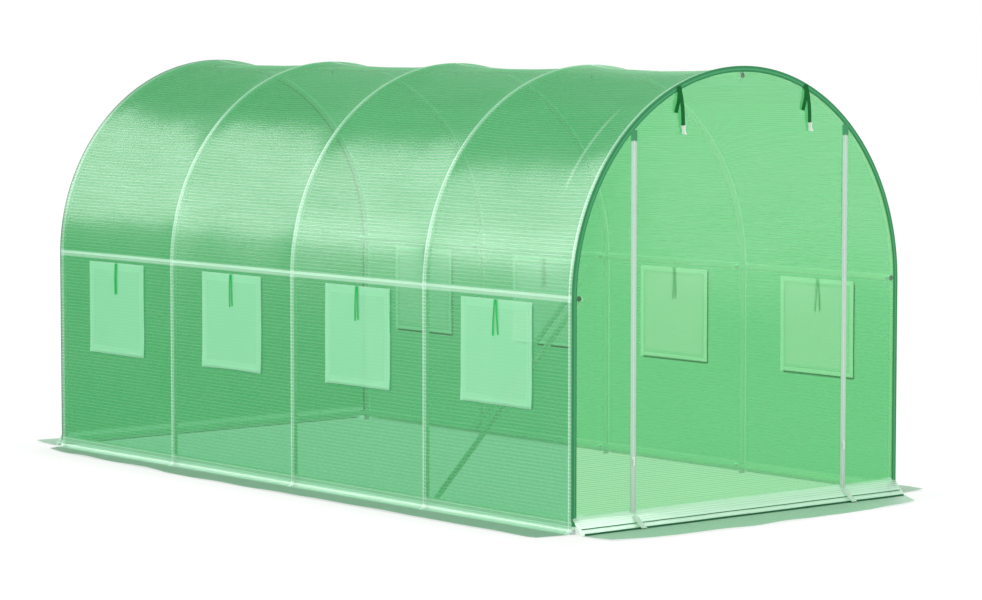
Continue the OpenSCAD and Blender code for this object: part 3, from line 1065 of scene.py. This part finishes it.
class TUNNEL_OT_ends(bpy.types.Operator):
    """Hangs the film across the two ends, with the door between its zips"""

    bl_idname = "tunnel.ends"
    bl_label = "Ends"

    def execute(self, context):
        self.film("front_film_left", -FILM_R, -DOOR_EDGE, -1, "front_panel_left")
        self.film("door_film", -DOOR_EDGE, DOOR_EDGE, -1, "door_panel")
        self.film("front_film_right", DOOR_EDGE, FILM_R, -1, "front_panel_right")
        self.film("back_film", -FILM_R, FILM_R, 1, "back_panel")
        return {"FINISHED"}

    def film(self, name, low, high, end, node):
        x = spaced(low, high, 0.03)
        if max(-low, high) == FILM_R:
            arch = -np.cos(np.linspace(0, math.pi, 71)) * FILM_R
            x = np.concatenate([[low], arch[(arch > low + 0.004) & (arch < high - 0.004)], [high]])
        share = np.concatenate([np.linspace(0, 0.05, 14), np.linspace(0.05, 1, 62)[1:]])
        top = end_top(x)
        z = LIE_Z + (top[None, :] - LIE_Z) * share[:, None]
        xx = np.broadcast_to(x, z.shape)
        made_of = "back" if end > 0 else "end"
        piece = knit(name, end_points(xx, z, end), np.stack([xx, z], -1), made_of, flip=end > 0)
        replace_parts(piece, node)
        run = math.hypot(SLOPE_Z - LIE_Z, SLOPE_OUT) - (SLOPE_Z - LIE_Z)
        area = float(np.trapz(top - LIE_Z, x)) + run * (high - low)
        high - low


# The skirts' free edges, as places along the edge and how far out it lies there
LEFT_EDGE = ([-END_Y, -1.97, -1.5, -0.5, 0.3, 0.80, 0.93, 1.0, 1.43, 1.8, END_Y],
             [-1.176, -1.190, -1.195, -1.192, -1.191, -1.187, -1.166, -1.155, -1.152, -1.133, -1.096])
RIGHT_EDGE = ([-END_Y, -1.90, -1.5, -0.6, 0.2, 0.9, 1.5, END_Y],
              [1.205, 1.215, 1.200, 1.186, 1.194, 1.180, 1.184, 1.150])
FRONT_EDGE = ([-1.03, -0.9, -0.66, -0.23, 0.10, 0.40, 0.76, 0.87, 1.0],
              [-2.245, -2.290, -2.330, -2.345, -2.332, -2.312, -2.285, -2.272, -2.235])
BACK_EDGE = ([-1.0, -0.7, -0.2, 0.3, 0.8, 1.0], [2.285, 2.318, 2.300, 2.322, 2.305, 2.270])


class TUNNEL_OT_skirts(bpy.types.Operator):
    """Lays the skirts out over the ground on all four sides"""

    bl_idname = "tunnel.skirts"
    bl_label = "Skirts"

    def execute(self, context):
        self.side("left", LEFT_EDGE, 3, 7, 1)
        self.side("right", RIGHT_EDGE, 4, 8, 0.3)
        self.end("skirt_film_front_left", -FILM_R, -DOOR_EDGE, -1, FRONT_EDGE, "skirt_front_left")
        self.end("skirt_film_door", -DOOR_EDGE, DOOR_EDGE, -1, FRONT_EDGE, "skirt_front_door")
        self.end("skirt_film_front_right", DOOR_EDGE, FILM_R, -1, FRONT_EDGE, "skirt_front_right")
        self.end("skirt_film_back", -FILM_R, FILM_R, 1, BACK_EDGE, "skirt_back")
        return {"FINISHED"}

    def side(self, label, edge, edge_seed, seed, pulled):
        """A long side's skirt, its corners pulled in by a share."""
        side, crease = SIDES[label], FILM_R + FOOT_R
        y = spaced(-END_Y, END_Y, 0.028)
        out = np.interp(y, *edge) + 0.0025 * waves(y, 0 * y, edge_seed, 0.7)
        share = np.linspace(0, 1, 13)[:, None]
        x = side * crease + (out[None, :] - side * crease) * share
        yy = np.broadcast_to(y, x.shape)
        pull = 0.03 * np.clip((np.abs(yy) - 1.85) / 0.17, 0, 1) * share * np.sign(yy)
        points = np.stack([x, yy - pull * pulled, self.lie(yy, x, share, seed)], -1)
        weave = np.stack([yy, np.abs(x)], -1)
        piece = knit(f"skirt_film_{label}", points, weave, "skirt", flip=side > 0)
        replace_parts(piece, f"skirt_{label}")
        float(np.mean(np.abs(out))) - crease
        2 * END_Y

    def end(self, name, low, high, end, edge, node):
        x = spaced(low, high, 0.024)
        crease = END_Y + SLOPE_OUT
        out = np.abs(np.interp(x, *edge))
        share = np.linspace(0, 1, 13)[:, None]
        y = crease + (out[None, :] - crease) * share
        lean = np.interp(x, [-1.0, -0.7, 0.7, 1.0], [0.01, 0.0, 0.0, -0.10 if end < 0 else -0.02])
        xx = np.broadcast_to(x, y.shape) + lean[None, :] * share
        points = np.stack([xx, end * y, self.lie(xx, y, share, 15 + end)], -1)
        piece = knit(name, points, np.stack([xx, y], -1), "end_skirt", flip=end < 0)
        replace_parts(piece, node)
        area = float(np.trapz((out - crease) * (1 + np.gradient(lean, x) / 2), x))
        high - low
        float(out.max()) - crease

    def lie(self, a, b, share, seed):
        """Heights of film lying loose: low ripples that grow towards the free edge."""
        ripple = np.maximum(waves(a, b, seed, 0.8), -0.6) + 0.6
        return LIE_Z + 0.0045 * ripple * share**1.5


class TUNNEL_OT_hems(bpy.types.Operator):
    """Sews the tape round each end and the fold along each end's foot"""

    bl_idname = "tunnel.hems"
    bl_label = "Hems"

    def execute(self, context):
        self.hem("front", -1, "hem", "hoop_1")
        self.hem("back", 1, "back_hem", "hoop_5")
        # The front fold is dark, partly as painted shade.
        self.fold("front_fold", -1, "seam")
        self.fold("back_fold", 1, "back_fold")
        return {"FINISHED"}

    def hem(self, label, end, finish_name, hoop):
        foot = 0.036  # where the tape starts and stops, as v
        width = settings().hem_width
        v = np.concatenate([np.linspace(foot, SPRING_Z, 40)[:-1], np.linspace(SPRING_Z, SPRING_Z + ARC_L, 130),
                            np.linspace(SPRING_Z + ARC_L, COVER_L - foot, 40)[1:]])
        x, z, out_x, out_z = cover_outline(v)
        y = end * (END_Y + 0.0008 + SLOPE_OUT * 0.25 * slope_share(z) ** 2)
        path = np.stack([x, y, z], -1)
        across = np.stack([out_x, 0 * x, out_z], -1)
        out = np.broadcast_to([0.0, end, 0.0], path.shape)
        section = [(-width, 0.0004), (-width + 0.0012, 0.0022), (-width / 2, 0.0028), (-0.003, 0.0026),
                   (0.0012, 0.0020), (0.0024, -0.0005), (0.0020, -0.0040), (0.0008, -0.0040), (0.0010, 0.0)]
        piece = tape(f"hem_tape_{label}", path, across, out, section, finish_name)
        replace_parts(piece, f"hem_{label}")

    def fold(self, name, end, finish_name):
        """The film's fold where the end meets its skirt, with a finer seam above it."""
        x = spaced(-0.985, 0.985, 0.02)
        wander = 0.0022 * waves(x, 0 * x, 31, 0.7)
        for part, out_y, z, tilt, section in (
            ("", SLOPE_OUT + 0.002, LIE_Z + 0.0026, 0.35, bead_section(0.010, 0.006)),
            ("_seam", SLOPE_OUT - 0.020, LIE_Z + 0.0235, 0.72, bead_section(0.004, 0.002)),
        ):
            upright = math.sqrt(1 - tilt * tilt)
            path = np.stack([x, end * (END_Y + out_y + wander), np.full_like(x, z)], -1)
            across = np.broadcast_to([0.0, end * tilt, -upright], path.shape)
            out = np.broadcast_to([0.0, end * upright, tilt], path.shape)
            tape(name + part, path, across, out, section, finish_name)


class TUNNEL_OT_zips(bpy.types.Operator):
    """Makes the two zips beside the door, with their sliders and the caps over their tops"""

    bl_idname = "tunnel.zips"
    bl_label = "Zips"

    def execute(self, context):
        self.zip("left", 0.30)
        self.zip("right", 0.27)
        return {"FINISHED"}

    def zip(self, label, slider_z):
        x = SIDES[label] * ZIP_X
        lean, foot_out = -0.012, SLOPE_OUT + 0.026  # how far the foot leans to one side and comes out
        bend_z = 0.10
        width = settings().zip_width
        z = np.concatenate([np.linspace(ZIP_HIGH.z - 0.022, bend_z, 60), np.linspace(bend_z, SLOPE_Z - 0.012, 6)[1:]])
        wall = np.stack([np.full_like(z, x), np.full_like(z, -END_Y - 0.0008), z], -1)
        foot = np.array([x + lean, -END_Y - foot_out, LIE_Z + 0.005])
        path = np.concatenate([wall, wall[-1] + (foot - wall[-1]) * np.linspace(0, 1, 8)[1:, None]])
        across = np.broadcast_to([1.0, 0.0, 0.0], path.shape)
        out = outward(heading(path), across)
        zip_tape = tape(f"zip_tape_{label}", path, across, out, flat_section(width, 0.0011), "zip_tape")
        teeth = tape(f"zip_teeth_{label}", path + out * 0.0009, across, out, bead_section(0.0075, 0.0022),
                     "zip_teeth")
        slider = self.slider(f"zip_slider_{label}", x, slider_z)
        cap_z = np.linspace(ZIP_HIGH.z - 0.026, ZIP_HIGH.z + 0.022, 5)
        cap_path = np.stack([np.full(5, x), np.full(5, -END_Y - 0.0018), cap_z], -1)
        cap = tape(f"zip_cap_{label}", cap_path, across[:5], np.broadcast_to([0.0, -1.0, 0.0], (5, 3)),
                   flat_section(width + 0.002, 0.0016), "cap")
        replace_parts(zip_tape, f"zip_{label}")

    def slider(self, name, x, z):
        """The slider of a zip with its pull hanging from it."""
        body = block((0.011, 0.006, 0.018))
        resize(body, "faces", lambda face: face.normal.z < -0.9, (0.62, 0.9, 1.0), (0, 0, -0.009))
        edit(body, "faces", lambda face: face.normal.y < -0.9)
        inset_push(0.0022, 0, -0.0016, 0)
        leave_edit()
        round_rims(body, 30, 0.0009)
        pull = drum("pull", 0.0045, 0.0014, 28)
        edit(pull, "verts", lambda v: v.co.y < 0)
        bpy.ops.transform.translate(value=(0, -0.022, 0))
        leave_edit()
        raise_top(pull, 0.0014, 0.0016, -0.0005)
        round_rims(pull, 40, 0.0003, 1)
        pull.data.transform(Matrix.Translation((0, -0.0052, -0.004)) @ Matrix.Rotation(math.radians(96), 4, "X"))
        return spread(joined(body, pull), name, [Matrix.Translation((x, -END_Y - 0.0045, z))], "white")


class TUNNEL_OT_straps(bpy.types.Operator):
    """Hangs the door straps from the hem, with a toggle on each long tail"""

    bl_idname = "tunnel.straps"
    bl_label = "Straps"

    def execute(self, context):
        lean = 8.0  # of a long tail, in degrees
        toggles = []
        for label in SIDES:
            node = f"door_strap_{label}"
            low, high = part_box(node)
            x, top = (low.x + high.x) / 2 - 0.003, high.z + 0.006
            end = self.tail(node, "long", x, top, lean, high.z - low.z - 0.004, 0.004)
            self.tail(node, "short", x, top, -8.5, 0.116, 0.001)
            toggles.append(towards(end, (math.sin(math.radians(lean)), 0.0, -math.cos(math.radians(lean)))))
        self.toggles(toggles)
        return {"FINISHED"}

    def tail(self, node, part, x, top, lean, length, rise):
        width = settings().strap_width
        share = np.linspace(0, 1, 16)
        angle = math.radians(lean)
        bow = np.sin(share * math.pi) * 0.004 + share * rise
        path = np.stack([x + np.sin(angle) * length * share + 0.003 * np.sin(share * 4), -HEM_OUT - 0.0012 - bow,
                         top - math.cos(angle) * length * share], -1)
        along = heading(path)
        twist = np.radians(np.interp(share, [0, 0.5, 1], [0, 10, 4]))
        across = np.stack([np.cos(twist), np.sin(twist) * 0.4, 0 * share], -1)
        across = unit(across - along * np.sum(across * along, axis=1)[:, None])
        section = flat_section(width, 0.0016)
        piece = tape(f"{node}_{part}", path, across, outward(along, across), section, "strap")
        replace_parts(piece, node)
        return Vector(path[-1])

    def toggles(self, places):
        """White moulded toggles, waisted like an hourglass."""
        height, width, thick = 0.040, 0.034, 0.0070
        levels = 8
        piece = block((width, thick, height), (0, 0, height / 2))
        cut_up(piece, height, levels - 1)
        for level in range(levels + 1):
            z = height * level / levels
            pinch = 0.52 + 0.48 * abs(2 * z / height - 1) ** 1.4
            resize(piece, "verts", lambda v: abs(v.co.z - z) < height / 40, (pinch, 0.72 + 0.28 * pinch, 1.0),
                   (0, 0, z))
        edit(piece, "faces", lambda face: abs(face.normal.z) > 0.9)
        inset_push(0.0015, 0, 0, 0)
        leave_edit()
        round_rims(piece, 40, 0.0012, 3)
        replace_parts(spread(piece, "door_toggles", places, "white"), "strap_toggles")


class TUNNEL_OT_windows(bpy.types.Operator):
    """Makes the flap, the mesh, the dark strip of painted shadow by its edge and the tie of every window"""

    bl_idname = "tunnel.windows"
    bl_label = "Windows"

    def execute(self, context):
        for label, side in SIDES.items():
            for number, middle in enumerate(WINDOW_YS, 1):
                self.mesh(label, side, number, middle)
                self.shadow_strip(label, side, number, middle)
                self.flap(label, side, number, middle)
                self.tie(label, side, number, middle)
        return {"FINISHED"}

    def on_wall(self, side, y, z, lift):
        """Points over a side wall, at a lift off the film."""
        points = cover_points(y, z if side < 0 else COVER_L - z)
        points[..., 0] += side * lift
        return points

    def wall_tape(self, name, side, points, width, finish_name, slot):
        """A thin tape that lies along points on a side wall."""
        out = np.broadcast_to([side, 0.0, 0.0], points.shape)
        across = unit(np.cross(heading(points), out))
        return tape(name, points, across, out, flat_section(width, 0.0012), finish_name)

    def mesh(self, label, side, number, middle):
        y = spaced(middle - MESH_W / 2, middle + MESH_W / 2, 0.03)
        yy, zz = np.meshgrid(y, spaced(MESH_LOW.z, MESH_HIGH.z, 0.03))
        points = self.on_wall(side, yy, zz, -0.0010)
        piece = knit(f"window_mesh_{label}_{number}", points, np.stack([yy, zz], -1), "mesh", flip=side < 0)
        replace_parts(piece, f"window_mesh_{label}")

    def shadow_strip(self, label, side, number, middle):
        """A dark strip in front of and under the flap's edge, where its shadow falls: a painted shadow."""
        front, low, corner = middle - FLAP_W / 2 - 0.0005, FLAP_LOW.z + 0.0015, 0.006
        run = [(front, FLAP_HIGH.z - 0.012), (front, low + corner), (front + 0.002, low + 0.002), (front + corner, low),
               (middle + FLAP_W / 2 - 0.02, low)]
        path = []
        for (y0, z0), (y1, z1) in zip(run[:-1], run[1:]):
            steps = max(2, int(math.hypot(y1 - y0, z1 - z0) / 0.03))
            path += [(y0 + (y1 - y0) * k / steps, z0 + (z1 - z0) * k / steps) for k in range(steps)]
        y, z = np.array(path + [run[-1]]).T
        points = self.on_wall(side, y, z, 0.0012)
        piece = self.wall_tape(f"window_tape_{label}_{number}", side, points, SHADOW_STRIP_W, "flap_shadow_strip", "hem")

    def flap(self, label, side, number, middle):
        a = np.concatenate([[0, 0.012, 0.04], np.linspace(0.075, 0.925, 18), [0.96, 0.988, 1]])
        yy, zz = np.meshgrid(a * FLAP_W - FLAP_W / 2, a * FLAP_H - FLAP_H / 2)
        lower = np.clip(-zz / FLAP_H * 2, 0, 1)  # 0 down to the flap's middle and 1 at its foot
        swell = (1 - (2 * yy / FLAP_W) ** 2) * (1 - (2 * zz / FLAP_H) ** 4)
        lift = 0.0030 + 0.0022 * swell + 0.0008 * waves(yy, zz, 40 + number + 10 * side, 0.5) + 0.0022 * lower**3
        points = self.on_wall(side, yy + middle, zz + FLAP_Z, lift)
        points[..., 2] += 0.0016 * waves(yy + middle, 0 * zz, 50 + number, 0.8) * lower
        weave = np.stack([yy, zz], -1)
        piece = knit(f"window_flap_{label}_{number}", points, weave, "flap", flip=side < 0)
        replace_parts(piece, f"window_flaps_{label}")

    def tie(self, label, side, number, middle):
        """Two narrow tails that hang from the flap's top, a little apart."""
        width = settings().tie_width
        swing_a, swing_b = ((0.014, -0.012), (0.007, -0.006), (0.004, -0.006), (0.003, 0.001))[number - 1]
        share = np.linspace(0, 1, 12)
        for part, apart, swing, shorter, over in (("a", 0.004, swing_a, 0, 0.0016), ("b", -0.004, swing_b, 0.006, 0)):
            length = TIE_HIGH.z - TIE_LOW.z - shorter
            lift = 0.0062 + 0.0022 * np.sin(share * math.pi) + over
            points = self.on_wall(side, middle + apart + swing * share, TIE_HIGH.z - 0.002 - length * share, lift)
            piece = self.wall_tape(f"flap_tie_{label}_{number}{part}", side, points, width, "tie", "strap")
            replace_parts(piece, f"flap_ties_{label}")


class TUNNEL_PT_panel(bpy.types.Panel):
    """Lists the settings and the steps that dress the tunnel"""

    bl_idname = "TUNNEL_PT_panel"
    bl_label = "Tunnel greenhouse"
    bl_space_type = "VIEW_3D"
    bl_region_type = "UI"
    bl_category = "Tunnel"

    def draw(self, context):
        for name in TunnelSettings.__annotations__:
            self.layout.prop(context.scene.tunnel, name)
        for operator in OPERATORS:
            self.layout.operator(operator.bl_idname)


OPERATORS = (TUNNEL_OT_stage, TUNNEL_OT_tubes, TUNNEL_OT_fittings, TUNNEL_OT_cover, TUNNEL_OT_ends, TUNNEL_OT_skirts,
             TUNNEL_OT_hems, TUNNEL_OT_zips, TUNNEL_OT_straps, TUNNEL_OT_windows)
CLASSES = (TunnelSettings, *OPERATORS, TUNNEL_PT_panel)


def register():
    for made in CLASSES:
        bpy.utils.register_class(made)
    bpy.types.Scene.tunnel = bpy.props.PointerProperty(type=TunnelSettings)


def unregister():
    del bpy.types.Scene.tunnel
    for made in reversed(CLASSES):
        bpy.utils.unregister_class(made)


def main():
    register()
    bpy.ops.tunnel.stage()
    bpy.ops.tunnel.tubes()
    bpy.ops.tunnel.fittings()
    bpy.ops.tunnel.cover()
    bpy.ops.tunnel.ends()
    bpy.ops.tunnel.skirts()
    bpy.ops.tunnel.hems()
    bpy.ops.tunnel.zips()
    bpy.ops.tunnel.straps()
    bpy.ops.tunnel.windows()


if __name__ == "__main__":
    main()
